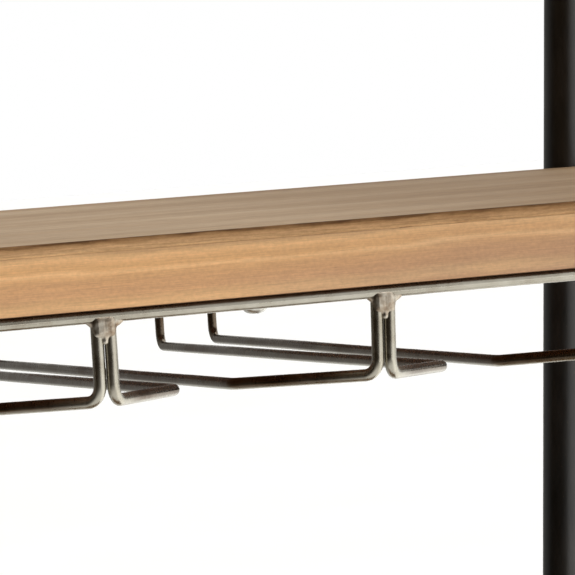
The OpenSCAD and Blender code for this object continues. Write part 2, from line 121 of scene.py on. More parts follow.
class Surface:
    """A Principled material, with short calls for the nodes that these materials use."""

    def __init__(self, name, **plain):
        self.material = bpy.data.materials.new(name)
        self.material.use_nodes = True
        self.nodes = self.material.node_tree.nodes
        self.links = self.material.node_tree.links
        self.shader = self.nodes["Principled BSDF"]
        coordinates = self.nodes.new("ShaderNodeTexCoord")
        self.point = coordinates.outputs["Object"]
        self.facing = coordinates.outputs["Normal"]
        for socket, value in plain.items():
            self.shader.inputs[socket.replace("_", " ")].default_value = value

    def put(self, socket, value):
        if isinstance(value, bpy.types.NodeSocket):
            self.links.new(value, socket)
        else:
            socket.default_value = value

    def axes(self, vector=None):
        """The x, y and z of a vector, or of the object's own coordinates."""
        split = self.nodes.new("ShaderNodeSeparateXYZ")
        self.put(split.inputs[0], vector or self.point)
        return split.outputs[0], split.outputs[1], split.outputs[2]

    def noise(self, scale, detail=3.0, roughness=0.55, offset=0.0):
        """Noise from 0 to 1 whose grains are about 1/scale metres long along X, Y and Z."""
        mapping = self.nodes.new("ShaderNodeMapping")
        mapping.inputs["Scale"].default_value = scale
        mapping.inputs["Location"].default_value = (offset, offset, offset)
        self.links.new(self.point, mapping.inputs["Vector"])
        texture = self.nodes.new("ShaderNodeTexNoise")
        texture.inputs["Scale"].default_value = 1.0
        texture.inputs["Detail"].default_value = detail
        texture.inputs["Roughness"].default_value = roughness
        self.links.new(mapping.outputs["Vector"], texture.inputs["Vector"])
        return texture.outputs["Fac"]

    def math(self, operation, a, b=0.0):
        node = self.nodes.new("ShaderNodeMath")
        node.operation = operation
        self.put(node.inputs[0], a)
        self.put(node.inputs[1], b)
        return node.outputs[0]

    def spread(self, value, low, high, to_low=0.0, to_high=1.0):
        """Value moved smoothly from low..high to to_low..to_high."""
        node = self.nodes.new("ShaderNodeMapRange")
        node.interpolation_type = "SMOOTHSTEP"
        self.put(node.inputs["Value"], value)
        self.put(node.inputs["From Min"], low)
        self.put(node.inputs["From Max"], high)
        self.put(node.inputs["To Min"], to_low)
        self.put(node.inputs["To Max"], to_high)
        return node.outputs["Result"]

    def blend(self, share, a, b, kind="MIX"):
        """Colours a and b mixed by share."""
        node = self.nodes.new("ShaderNodeMix")
        node.data_type = "RGBA"
        node.blend_type = kind
        self.put(node.inputs[0], share)
        self.put(node.inputs[6], a)
        self.put(node.inputs[7], b)
        return node.outputs[2]

    def shade(self, colour, value, low, high):
        """Colour multiplied by a grey that goes from low to high as value goes from 0 to 1."""
        grey = self.spread(value, 0.25, 0.75, low, high)
        node = self.nodes.new("ShaderNodeVectorMath")
        node.operation = "SCALE"
        self.put(node.inputs[0], colour)
        self.put(node.inputs["Scale"], grey)
        return node.outputs[0]

    def ramp(self, value, stops):
        """A colour ramp over value, from a list of (place, colour)."""
        node = self.nodes.new("ShaderNodeValToRGB")
        set_stops(node, stops)
        self.put(node.inputs["Fac"], value)
        return node.outputs["Color"]

    def bump(self, height, distance, strength=1.0):
        """Adds relief of about distance metres to what the shader's normal already has."""
        node = self.nodes.new("ShaderNodeBump")
        node.inputs["Strength"].default_value = strength
        node.inputs["Distance"].default_value = distance
        self.put(node.inputs["Height"], height)
        socket = self.shader.inputs["Normal"]
        if socket.is_linked:
            self.links.new(socket.links[0].from_socket, node.inputs["Normal"])
        self.links.new(node.outputs["Normal"], socket)

    def colour(self, value):
        self.put(self.shader.inputs["Base Color"], value)

    def roughness(self, value, low, high, value_low=0.3, value_high=0.7):
        """Roughness from low to high as value goes from value_low to value_high."""
        self.put(self.shader.inputs["Roughness"], self.spread(value, value_low, value_high, low, high))


def depth_below(surface_z, m):
    """Depth below a board's surface, as a share of its 22 mm."""
    return m.math("MULTIPLY", m.math("SUBTRACT", surface_z, m.axes()[2]), 1 / 0.022)


def wood_fibres(m, colour):
    """Short fibres and pores along X, over a colour."""
    long_fibre = m.noise((38, 1500, 1900), 3, 0.6)
    fine_fibre = m.noise((170, 3600, 3600), 2, 0.6, 3.0)
    pore = m.noise((210, 1900, 1900), 2, 0.5, 7.0)
    colour = m.shade(colour, long_fibre, 0.91, 1.07)
    colour = m.shade(colour, fine_fibre, 0.93, 1.06)
    dark = m.spread(pore, 0.66, 0.78, 0.0, 0.30)
    colour = m.blend(dark, colour, tone(112, 78, 48))
    m.bump(long_fibre, 0.05 * MM, 0.5)
    m.bump(fine_fibre, 0.03 * MM, 0.5)
    return colour


def wood_core(name, surface_z):
    """The board under the top layer: warm bands that wander along the grain."""
    m = Surface(name, Specular_IOR_Level=0.25)
    depth = depth_below(surface_z, m)
    wander = m.spread(m.noise((9, 14, 0), 2), 0.25, 0.75, -0.07, 0.07)
    ripple = m.spread(m.noise((26, 40, 260), 3, 0.6, 2.0), 0.25, 0.75, -0.03, 0.03)
    place = m.math("ADD", m.math("ADD", depth, wander), ripple)
    bands = m.ramp(place, [
        (0.18, tone(201, 158, 113)),
        (0.25, tone(229, 181, 128)),
        (0.33, tone(222, 171, 118)),
        (0.40, tone(222, 171, 118)),
        (0.455, tone(238, 190, 136)),
        (0.50, tone(224, 173, 121)),
        (0.60, tone(213, 163, 116)),
        (0.75, tone(210, 161, 116)),
        (0.85, tone(216, 170, 122)),
        (0.92, tone(228, 181, 130)),
        (1.0, tone(215, 167, 121)),
    ])
    uneven_x = m.math("ADD", m.axes()[0], m.spread(m.noise((14, 20, 60), 3), 0.2, 0.8, -0.05, 0.05))
    greyer = m.spread(uneven_x, 0.02, 0.17)
    greyer = m.math("MULTIPLY", greyer, m.spread(depth, 0.25, 0.60, 0.35, 1.0))
    bands = m.blend(greyer, bands, tone(226, 230, 246), "MULTIPLY")
    flame = m.noise((5, 70, 190), 4, 0.6, 5.0)
    bands = m.shade(bands, flame, 0.93, 1.06)
    streak = m.noise((3.5, 330, 420), 3, 0.55, 9.0)
    bands = m.shade(bands, streak, 0.95, 1.04)
    sanding = m.noise((700, 900, 900), 2, 0.6, 11.0)
    bands = m.shade(bands, sanding, 0.93, 1.06)
    # Painted shade: the board's bottom edge is darkened, standing in for the shadow line under it.
    edge = m.spread(depth, 0.975, 1.0, 0.0, 0.35)
    bands = m.blend(edge, bands, tone(140, 98, 62))
    # Painted shade: faces that point down are darkened to dark brown, as the underside in shade.
    down = m.spread(m.axes(m.facing)[2], -0.75, -0.98, 0.0, 1.0)
    bands = m.blend(down, bands, tone(98, 66, 42))
    m.colour(wood_fibres(m, bands))
    m.roughness(m.noise((60, 500, 500), 3), 0.46, 0.60)
    return m.material


def wood_face(name, surface_z):
    """The top layer: a matte grey-brown surface, and a darker mottled band on its edge."""
    m = Surface(name, Specular_IOR_Level=0.05)
    depth = depth_below(surface_z, m)
    plank = m.noise((2.2, 26, 26), 3, 0.5)
    top = m.ramp(plank, [
        (0.30, tone(160, 134, 106)),
        (0.50, tone(172, 147, 119)),
        (0.70, tone(180, 157, 130)),
    ])
    streak = m.noise((16, 210, 210), 4, 0.6, 4.0)
    top = m.shade(top, streak, 0.94, 1.08)
    short_grain = m.noise((95, 300, 300), 4, 0.7, 12.0)
    top = m.shade(top, short_grain, 0.85, 1.13)
    browner = m.spread(m.axes()[0], 0.05, 0.20)
    top = m.blend(browner, top, tone(226, 220, 212), "MULTIPLY")
    fleck = m.spread(m.noise((45, 620, 620), 3, 0.5, 8.0), 0.63, 0.74, 0.0, 0.55)
    top = m.blend(fleck, top, tone(104, 76, 50))
    ragged = m.spread(m.noise((60, 60, 700), 3), 0.2, 0.8, -0.025, 0.025)
    band = m.ramp(m.math("ADD", depth, ragged), [
        (0.0, tone(82, 56, 34)),
        (0.03, tone(120, 86, 56)),
        (0.06, tone(170, 131, 91)),
        (0.10, tone(192, 152, 110)),
        (0.15, tone(204, 163, 119)),
        (0.182, tone(216, 172, 124)),
    ])
    fibre = m.spread(m.noise((60, 900, 1500), 4, 0.65, 1.0), 0.42, 0.64, 0.0, 0.42)
    band = m.blend(fibre, band, tone(150, 114, 76))
    mottle = m.noise((420, 500, 1100), 4, 0.7, 14.0)
    band = m.shade(band, mottle, 0.84, 1.12)
    darker = m.spread(m.axes()[0], 0.0, 0.12)
    band = m.blend(darker, band, tone(238, 235, 232), "MULTIPLY")
    split = m.spread(m.noise((95, 95, 300), 3, 0.6, 6.0), 0.56, 0.64)
    crack = m.math("MULTIPLY", m.spread(depth, 0.165, 0.18), split)
    to_right = m.spread(m.axes()[0], 0.03, 0.09, 0.15, 0.8)
    band = m.blend(m.math("MULTIPLY", crack, to_right), band, tone(84, 54, 30))
    up = m.spread(m.axes(m.facing)[2], 0.88, 0.995)
    m.colour(wood_fibres(m, m.blend(up, band, top)))
    m.roughness(m.noise((12, 260, 260), 3), 0.56, 0.70)
    return m.material


def bare_steel(name, stretch, warm=0.0, painted_wood_reflection=0.0):
    """Drawn steel. stretch is its marks' scale, warm adds stains, and the last argument browns it behind the
    front as a painted reflection of the board's wood.
    """
    m = Surface(name, Metallic=1.0)
    patch = m.noise((90, 90, 90), 4, 0.6)
    colour = m.ramp(patch, [
        (0.30, tone(158, 151, 137)),
        (0.50, tone(175, 170, 157)),
        (0.70, tone(188, 184, 172)),
    ])
    stain = m.spread(m.noise((260, 260, 260), 4, 0.65, 5.0), 0.50, 0.74, 0.0, 0.14 + warm)
    colour = m.blend(stain, colour, tone(130, 108, 84))
    speck = m.spread(m.noise((1500, 1500, 1500), 2, 0.5, 8.0), 0.66, 0.76, 0.0, 0.12)
    colour = m.blend(speck, colour, tone(116, 96, 76))
    scratch = m.noise(stretch, 3, 0.6, 2.0)
    colour = m.shade(colour, scratch, 0.93, 1.05)
    if painted_wood_reflection:
        # Painted reflection: upward faces behind the front are browned as if mirroring the wood of the board
        # above.
        behind = m.spread(m.axes()[1], -0.194, -0.180)
        upward = m.spread(m.axes(m.facing)[2], -0.80, -0.35)
        uneven = m.spread(m.noise((60, 25, 60), 3, 0.6, 13.0), 0.25, 0.75, 0.65, 1.0)
        share = m.math("MULTIPLY", m.math("MULTIPLY", behind, upward), uneven)
        colour = m.blend(m.math("MULTIPLY", share, painted_wood_reflection), colour, tone(124, 92, 58), "MULTIPLY")
    m.colour(colour)
    m.roughness(m.math("ADD", patch, scratch), 0.24, 0.36, 0.8, 1.25)
    m.bump(scratch, 0.02 * MM, 0.5)
    m.bump(m.noise((700, 700, 700), 2), 0.015 * MM, 0.3)
    return m.material


def weld_metal():
    """Weld as it cools: satin grey with soft ripples and a brown heat tint."""
    m = Surface("weld_metal", Metallic=1.0)
    tint = m.noise((330, 330, 330), 3, 0.55)
    m.colour(m.ramp(tint, [
        (0.30, tone(128, 108, 88)),
        (0.48, tone(170, 158, 142)),
        (0.66, tone(196, 189, 176)),
    ]))
    m.roughness(m.noise((700, 700, 700), 2), 0.28, 0.42)
    m.bump(m.noise((800, 800, 1400), 3), 0.05 * MM, 0.6)
    return m.material


def dark_steel(name, low, high, smooth):
    """Blackened steel: near black, satin, with faint brown mottling."""
    m = Surface(name, Specular_IOR_Level=0.6)
    mottle = m.noise((70, 70, 24), 5, 0.65)
    colour = m.blend(m.spread(mottle, 0.35, 0.70), low, high)
    speck = m.spread(m.noise((700, 700, 500), 2, 0.5, 4.0), 0.68, 0.80, 0.0, 0.5)
    m.colour(m.blend(speck, colour, tone(74, 60, 46)))
    m.roughness(m.noise((300, 300, 60), 3), smooth, smooth + 0.10)
    m.bump(m.noise((1100, 1100, 700), 3), 0.05 * MM, 0.5)
    return m.material


def zinc_plate(name, light, dark):
    """Zinc-plated pressed steel, a little cloudy."""
    m = Surface(name, Metallic=1.0)
    cloud = m.noise((160, 160, 160), 4, 0.6)
    m.colour(m.blend(m.spread(cloud, 0.3, 0.7), dark, light))
    m.roughness(m.noise((420, 420, 420), 3), 0.26, 0.42)
    m.bump(m.noise((1400, 1400, 1400), 2), 0.03 * MM, 0.5)
    return m.material


def moulded(name, low, high, rough, grain):
    """A moulded grey or black part with a fine texture, lighter where it is rubbed."""
    m = Surface(name)
    scuff = m.noise((110, 110, 110), 5, 0.7)
    m.colour(m.blend(m.spread(scuff, 0.42, 0.72), low, high))
    m.roughness(scuff, rough, rough + 0.15)
    m.bump(m.noise((grain, grain, grain), 3), 0.08 * MM, 0.6)
    return m.material


def pale_floor():
    glow = {"Emission_Color": (1, 1, 1, 1), "Emission_Strength": 0.07}
    m = Surface("pale_floor", Roughness=0.8, Specular_IOR_Level=0.1, **glow)
    m.colour(m.ramp(m.noise((3, 3, 3), 4), [(0.3, tone(251, 251, 250)), (0.7, tone(254, 254, 253))]))
    return m.material


# ---- Mesh making ----
def bridge(bm, rings, close=False):
    """Quads between successive rings of vertices; close joins the last ring to the first."""
    pairs = list(zip(rings, rings[1:]))
    if close:
        pairs.append((rings[-1], rings[0]))
    for a, b in pairs:
        count = len(a)
        for i in range(count):
            j = (i + 1) % count
            bm.faces.new((a[i], a[j], b[j], b[i]))


def skin(bm, rings, close=False):
    """Quads over rings of points, whose two ends are joined or capped. Returns the rings of vertices."""
    made = [[bm.verts.new(point) for point in ring] for ring in rings]
    bridge(bm, made, close)
    if not close:
        bm.faces.new(list(reversed(made[0])))
        bm.faces.new(made[-1])
    return made


def circle(count, ahead=0.0):
    """The cosine and sine of count equal steps round a circle, which starts ahead of a step's place."""
    for k in range(count):
        angle = 2 * math.pi * (k + ahead) / count
        yield math.cos(angle), math.sin(angle)


def arc(centre, radius, start, step, count):
    """Points on an arc about centre, from start degrees on by step degrees."""
    angles = [math.radians(start + i * step) for i in range(count)]
    return [(centre[0] + radius * math.cos(a), centre[1] + radius * math.sin(a)) for a in angles]


def mm(points):
    """Points given in mm, in metres."""
    return [(a * MM, b * MM) for a, b in points]


def rounded(points, radius, step):
    """Points along a polyline whose corners are bent to a radius."""
    points = [Vector(p) for p in points]
    line = [points[0]]
    for before, corner, after in zip(points, points[1:], points[2:]):
        into = (corner - before).normalized()
        out = (after - corner).normalized()
        turn = into.angle(out)
        back = radius * math.tan(turn / 2)
        centre_way = (out - into).normalized()
        centre = corner + centre_way * (radius / math.cos(turn / 2))
        start = corner - into * back - centre
        axis = into.cross(out).normalized()
        count = max(4, round(radius * turn / step))
        for i in range(count + 1):
            line.append(centre + Matrix.Rotation(turn * i / count, 3, axis) @ start)
    line.append(points[-1])
    return line


def subdivided(line, step):
    """The line with no gap longer than step."""
    dense = [line[0]]
    for a, b in zip(line, line[1:]):
        count = max(1, math.ceil((b - a).length / step))
        for i in range(1, count + 1):
            dense.append(a.lerp(b, i / count))
    return dense


def tube(bm, line, radius, sides=20, dome=0.0, lumps=0.0):
    """A round bar along a line of points. Its ends are rounded by dome; lumps roughen its surface."""
    line = [Vector(p) for p in line]
    tangents = []
    for i in range(len(line)):
        a = line[max(0, i - 1)]
        b = line[min(len(line) - 1, i + 1)]
        tangents.append((b - a).normalized())
    shares = (0.0, 0.35, 0.75) if dome > 0 else ()
    stations = []
    for share in shares:
        tip = line[0] - tangents[0] * dome * (1 - share)
        stations.append((tip, radius - dome * (1 - share) ** 2, 0))
    stations += [(point, radius, i) for i, point in enumerate(line)]
    for share in reversed(shares):
        tip = line[-1] + tangents[-1] * dome * (1 - share)
        stations.append((tip, radius - dome * (1 - share) ** 2, -1))
    across = tangents[0].orthogonal().normalized()
    last = tangents[0]
    rings = []
    for point, size, index in stations:
        tangent = tangents[index]
        across = last.rotation_difference(tangent) @ across
        across = (across - tangent * across.dot(tangent)).normalized()
        last = tangent
        side = tangent.cross(across)
        ring = []
        for c, s in circle(sides):
            out = across * c + side * s
            bulge = lumps * noise.noise((point + out * radius) * 260)
            ring.append(point + out * (size + bulge))
        rings.append(ring)
    return skin(bm, rings)


def lathe(bm, profile, sides, place, close=False):
    """Turns a profile of (radius, height) about Z, then puts it where the matrix place says."""
    rings = []
    for radius, height in profile:
        rings.append([place @ Vector((radius * c, radius * s, height)) for c, s in circle(sides)])
    skin(bm, rings, close)


def softened(profile, radius):
    """The closed outline with its corners cut to small arcs that start about radius away."""
    points = [Vector((p[0], p[1])) for p in profile]
    result = []
    for i, corner in enumerate(points):
        before = points[i - 1]
        after = points[(i + 1) % len(points)]
        reach = min(radius, (before - corner).length * 0.45, (after - corner).length * 0.45)
        start = corner + (before - corner).normalized() * reach
        end = corner + (after - corner).normalized() * reach
        for share in (0.0, 0.33, 0.67, 1.0):
            result.append(start.lerp(corner, share).lerp(corner.lerp(end, share), share))
    return result


def plate(bm, outline, thickness, bevel, place):
    """A plate from an outline of (u, v) points, thickness along w, with rounded edges."""
    normals = []
    for i in range(len(outline)):
        along = Vector(outline[(i + 1) % len(outline)]) - Vector(outline[i - 1])
        normals.append(Vector((along.y, -along.x)).normalized())
    area = sum(a[0] * b[1] - b[0] * a[1] for a, b in zip(outline, outline[1:] + outline[:1]))
    flip = 1.0 if area > 0 else -1.0
    steps = [(bevel, 0.0), (bevel * 0.3, bevel * 0.3), (0.0, bevel)]
    steps += [(0.0, thickness - bevel), (bevel * 0.3, thickness - bevel * 0.3), (bevel, thickness)]
    rings = []
    for inset, level in steps:
        spots = [Vector(point) - normal * inset * flip for point, normal in zip(outline, normals)]
        rings.append([place @ Vector((spot.x, spot.y, level)) for spot in spots])
    skin(bm, rings)


def ring_plate(bm, outline, hole, thickness, bevel, place):
    """A plate with a round hole; outline and hole have the same number of points."""
    rings = []
    steps = [(bevel, 0.0), (0.0, bevel), (0.0, thickness - bevel), (bevel, thickness)]
    for inset, level in steps:
        rings.append([(Vector(p) * (1 - inset / Vector(p).length), level) for p in outline])
    for inset, level in reversed(steps):
        rings.append([(Vector(p) * (1 + inset / Vector(p).length), level) for p in hole])
    placed = [[place @ Vector((spot.x, spot.y, level)) for spot, level in ring] for ring in rings]
    skin(bm, placed, close=True)


def add_object(name, data):
    made = bpy.data.objects.new(name, data)
    bpy.context.scene.collection.objects.link(made)
    return made


def finish_mesh(bm, name, sharp_degrees=38):
    """A smooth-shaded object from bm, with its sharp edges kept sharp."""
    bmesh.ops.recalc_face_normals(bm, faces=bm.faces)
    for face in bm.faces:
        face.smooth = True
    for edge in bm.edges:
        if len(edge.link_faces) == 2 and edge.calc_face_angle(0) > math.radians(sharp_degrees):
            edge.smooth = False
    mesh = bpy.data.meshes.new(name)
    bm.to_mesh(mesh)
    bm.free()
    return add_object(name, mesh)


def place_piece(made, material, body, nodes=()):
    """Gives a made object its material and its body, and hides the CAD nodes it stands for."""
    made.data.materials.append(material)
    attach(made, body)
    if nodes:
        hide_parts(*nodes)
    return made


def with_modifiers(made):
    """A new mesh of the object as its modifiers leave it."""
    graph = bpy.context.evaluated_depsgraph_get()
    return bpy.data.meshes.new_from_object(made.evaluated_get(graph))


def melt_into(bm, drops, voxel, lumps, grain):
    """Adds drops, each a centre and a radius, to bm, melted into one lumpy skin."""
    balls = bmesh.new()
    for centre, radius in drops:
        bmesh.ops.create_icosphere(balls, subdivisions=2, radius=radius, matrix=Matrix.Translation(centre))
    made = finish_mesh(balls, "drops")
    remesh = made.modifiers.new("melt", "REMESH")
    remesh.mode = "VOXEL"
    remesh.voxel_size = voxel
    smooth = made.modifiers.new("even", "SMOOTH")
    smooth.factor = 0.5
    smooth.iterations = 14
    mesh = with_modifiers(made)
    for vertex in mesh.vertices:
        vertex.co += vertex.normal * lumps * noise.noise(vertex.co * grain)
    bm.from_mesh(mesh)
    bpy.data.objects.remove(made)
    bpy.data.meshes.remove(mesh)


def fill_flat(bm, ring, spacing):
    """Closes a flat ring of vertices with well-shaped triangles about spacing wide."""
    z = ring[0].co.z
    xs = [v.co.x for v in ring]
    ys = [v.co.y for v in ring]
    points = [Vector((v.co.x, v.co.y)) for v in ring]
    x_count = round((max(xs) - min(xs)) / spacing)
    y_count = round((max(ys) - min(ys)) / spacing)
    for i in range(1, x_count):
        for j in range(1, y_count):
            shift = 0.25 * spacing * (j % 2)
            x = min(xs) + (max(xs) - min(xs)) * i / x_count + shift
            points.append(Vector((x, min(ys) + (max(ys) - min(ys)) * j / y_count)))
    edges = [(i, (i + 1) % len(ring)) for i in range(len(ring))]
    outline = [list(range(len(ring)))]
    spots, _edges, faces, sources, _e, _f = delaunay_2d_cdt(points, edges, outline, 1, 1e-7)
    made = []
    for spot, source in zip(spots, sources):
        known = [i for i in source if i < len(ring)]
        made.append(ring[known[0]] if known else bm.verts.new((spot.x, spot.y, z)))
    for face in faces:
        bm.faces.new([made[i] for i in face])


# ---- Boards ----
def board_loop(low, high, clip, spacing):
    """Points round a clipped rectangle, each with its outward direction."""
    corners = [
        (low.x + clip, low.y), (high.x - clip, low.y), (high.x, low.y + clip), (high.x, high.y - clip),
        (high.x - clip, high.y), (low.x + clip, high.y), (low.x, high.y - clip), (low.x, low.y + clip),
    ]
    line = [Vector((p[0], p[1], 0)) for p in softened(corners, 1.2 * MM)]
    dense = subdivided(line + [line[0]], spacing)[:-1]
    loop = []
    for i, point in enumerate(dense):
        along = dense[(i + 1) % len(dense)] - dense[i - 1]
        loop.append((point, Vector((along.y, -along.x, 0)).normalized()))
    return loop


def edge_profile(height, top_arris, bottom_arris):
    """Rings of a board's edge as (inset, depth, how much wear shows).

    The first and last rings are inset by less than the corner arcs' radius, so neither crosses itself.
    """
    rings = [(CAP_INSET, 0.0, 0.0), (top_arris * 1.6, 0.0, 0.0)]
    for angle in (0, 22, 45, 68, 90):
        turned = math.radians(angle)
        rings.append((top_arris * (1 - math.sin(turned)), top_arris * (1 - math.cos(turned)), 1.0))
    count = max(2, round((height - top_arris - bottom_arris) / (1.6 * MM)))
    for i in range(1, count):
        rings.append((0.0, top_arris + (height - top_arris - bottom_arris) * i / count, 0.5))
    for angle in (0, 45, 90):
        turned = math.radians(angle)
        inset = bottom_arris * (1 - math.cos(turned))
        rings.append((inset, height - bottom_arris + bottom_arris * math.sin(turned), 1.0))
    rings.append((CAP_INSET, height, 0.0))
    return rings


def board_layer(node, material, arris, spacing, crack):
    """One layer of a board, its edges rounded, a little uneven, and chipped here and there."""
    low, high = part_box(node)
    bm = bmesh.new()
    loop = board_loop(low, high, BOARD_CLIP, spacing)
    rings = []
    for inset, depth, wear in edge_profile(high.z - low.z, arris[0], arris[1]):
        ring = []
        z = high.z - depth
        for point, outward in loop:
            here = Vector((point.x, point.y, z))
            uneven = 0.05 * MM * noise.noise(Vector((here.x * 90, here.y * 90, here.z * 700)))
            chip = max(0.0, noise.noise(Vector((here.x * 160, here.y * 160, 3.1))) - 0.30) * crack
            ragged = abs(uneven) * wear + (chip if wear == 1.0 and depth > 0.9 * MM else 0.0)
            ring.append(bm.verts.new(here - outward * (inset + ragged)))
        rings.append(ring)
    bridge(bm, rings)
    for ring in (rings[0], rings[-1]):
        fill_flat(bm, ring, CAP_SPACING)
    made = finish_mesh(bm, node.replace("shelf", "board"))
    return place_piece(made, material, "frame", [node])


def make_boards():
    for level, spacing in (("upper", 1.5 * MM), ("lower", 3.0 * MM)):
        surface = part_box(level + "_shelf_face")[1].z
        face = wood_face(level + "_wood_face", surface)
        core = wood_core(level + "_wood_core", surface)
        board_layer(level + "_shelf_face", face, (1.0 * MM, 0.08 * MM), spacing, 0.9 * MM)
        board_layer(level + "_shelf_core", core, (0.08 * MM, 0.9 * MM), spacing, 0.4 * MM)


# ---- Stemware rack ----
def wire_line(node, side, centre_x, front_y, back_y, rod_low):
    """The centre line of one wire of a pair; side is -1 or 1."""
    bends = HAND_BENDS.get((node, side), {})
    chance = random.Random(node + str(side))
    mouth = side * RAIL_OFFSET + bends.get("mouth", chance.uniform(-0.8, 0.8)) * MM
    back = side * RAIL_OFFSET + bends.get("back", chance.uniform(-1.0, 1.0)) * MM
    top = centre_x + side * WIRE_STAND + HAND_SHIFT.get(node, 0.0) * MM
    foot = rod_low - RACK_DROP
    dip = MOUTH_DIP + bends.get("dip", 0.0) * MM
    fall = RACK_FALL + bends.get("fall", chance.uniform(-0.5, 1.5)) * MM
    corners = [
        (top, front_y, rod_low + 1.0 * MM),
        (top + HAND_LEAN.get(node, -0.4) * MM, front_y, foot),
        (centre_x + mouth, front_y + MOUTH_DEPTH, foot - dip),
        (centre_x + back, back_y, foot - fall),
        (centre_x + back, back_y, rod_low + 1.0 * MM),
    ]
    line = subdivided(rounded(corners, WIRE_BEND, 0.9 * MM), 9 * MM)
    shift = Vector((chance.uniform(-9, 9), chance.uniform(-9, 9), side))
    waved = []
    for i, point in enumerate(line):
        ease = min(1.0, i / 12, (len(line) - 1 - i) / 12)
        wave = noise.noise_vector(point * 11 + shift) * 0.25 * MM * ease
        wave.z *= 0.5
        waved.append(point + wave)
    return waved


def rod_places():
    """The front rod's y, the back rod's y and the rods' underside."""
    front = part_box("rack_rod_front")
    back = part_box("rack_rod_back")
    return (front[0].y + front[1].y) / 2, (back[0].y + back[1].y) / 2, front[0].z


def rack_wires():
    """Each rack node with its centre in X and the sides its wires are on."""
    for node in PAIRS:
        low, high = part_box(node)
        yield node, (low.x + high.x) / 2, (-1, 1)
    for node, side in END_WIRES.items():
        low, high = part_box(node)
        outer = high.x if side < 0 else low.x
        yield node, outer - side * (WIRE_RADIUS - WIRE_STAND), (side,)


def make_wires(material):
    places = rod_places()
    for node, x, sides in rack_wires():
        bm = bmesh.new()
        for side in sides:
            tube(bm, wire_line(node, side, x, *places), WIRE_RADIUS, 24, 0.0, 0.03 * MM)
        place_piece(finish_mesh(bm, node.replace("rack", "wire")), material, "frame", [node])


def front_weld(x, y, low, sides, chance):
    """Drops of the weld that joins the wires at x to the front rod: full at the top, then tapering."""
    drops = []
    face = y - 2.55 * MM
    for side in sides:
        for across in (0.5, 1.25, 2.0):
            for step in range(11):
                drop = -0.6 + 0.38 * step
                size = (2.3 - 0.5 * (step / 10) ** 2 + chance.uniform(-0.03, 0.03)) * MM
                drops.append((Vector((x + side * across * MM, face + size, low - drop * MM)), size))
        for out, lift, size in ((3.5, 0.1, 1.6), (4.3, 0.5, 1.45), (5.2, 0.9, 1.2), (6.1, 1.25, 0.9)):
            reach = out + (0.7 if side > 0 else -0.2)
            drops.append((Vector((x + side * reach * MM, y - 0.2 * MM, low + lift * MM)), size * MM))
    middle = x if len(sides) == 2 else x + sides[0] * WIRE_STAND
    for i in range(8):
        share = i / 7
        size = (2.0 - 0.85 * share) * MM
        drops.append((Vector((middle, face + 0.25 * MM + size, low - (2.6 + 3.2 * share) * MM)), size))
    return drops


def back_weld(x, y, low, chance):
    """Drops of the collar that joins one wire to the back rod."""
    drops = [(Vector((x, y, low - 0.1 * MM)), 2.4 * MM)]
    for out in (-2.4, 2.4):
        drops.append((Vector((x + out * MM, y, low + 0.3 * MM)), (1.2 + chance.uniform(-0.1, 0.1)) * MM))
    return drops


def make_rack_welds(material):
    chance = random.Random(41)
    front_y, back_y, low = rod_places()
    front = bmesh.new()
    back = bmesh.new()
    for node, x, sides in rack_wires():
        moved = x + HAND_SHIFT.get(node, 0.0) * MM
        melt_into(front, front_weld(moved, front_y, low, sides, chance), 0.28 * MM, 0.10 * MM, 420)
        for side in sides:
            end = wire_line(node, side, x, front_y, back_y, low)[-1]
            melt_into(back, back_weld(end.x, back_y, low, chance), 0.35 * MM, 0.10 * MM, 500)
    place_piece(finish_mesh(front, "rack_welds_front"), material, "frame")
    place_piece(finish_mesh(back, "rack_welds_back"), material, "frame")


def make_rods(material):
    for node in ("rack_rod_front", "rack_rod_back"):
        low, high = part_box(node)
        middle = (low + high) / 2
        ends = [Vector((low.x - 2 * MM, middle.y, middle.z)), Vector((high.x + 2 * MM, middle.y, middle.z))]
        bm = bmesh.new()
        tube(bm, subdivided(ends, 3 * MM), WIRE_RADIUS, 28, 0.0, 0.05 * MM)
        name = node.replace("rack_rod", "rod")
        place_piece(finish_mesh(bm, name), material, "frame", [node])


def screw_head(bm, place, radius, height):
    """A pan head with a cross recess, its top towards +Z of place."""
    rings = []
    for share in (0.08, 0.16, 0.24, 0.32, 0.40, 0.48, 0.56, 0.66, 0.78, 0.88, 0.95, 1.0):
        r = radius * share
        ring = []
        for c, s in circle(72):
            x = r * c
            y = r * s
            dome = height * math.sqrt(max(0.0, 1 - (r / radius) ** 2.6))
            arm = min(abs(x), abs(y)) < radius * 0.10 and max(abs(x), abs(y)) < radius * 0.50
            deep = height * 0.55 * (1 - r / (radius * 0.62)) if arm else 0.0
            ring.append(place @ Vector((x, y, dome - max(0.0, deep))))
        rings.append(ring)
    skin(bm, rings)


def make_screws(material):
    for node, height in (("rack_screws", 3.6 * MM), ("shelf_screws", 3.0 * MM)):
        bm = bmesh.new()
        for low, high in node_islands(node):
            middle = (low + high) / 2
            seat = Vector((middle.x, middle.y, low.z)) + Vector((0, 0, height))
            turn = Matrix.Rotation(middle.x * 37 + middle.y * 11, 4, "Z")
            base = Matrix.Translation(seat) @ Matrix.Rotation(math.pi, 4, "X") @ turn
            screw_head(bm, base, (high.x - low.x) / 2, height)
            tube(bm, [seat, seat + Vector((0, 0, 12 * MM))], 2 * MM, 16)
        made = finish_mesh(bm, node.replace("screws", "pan_screws"))
        place_piece(made, material, "frame", [node])


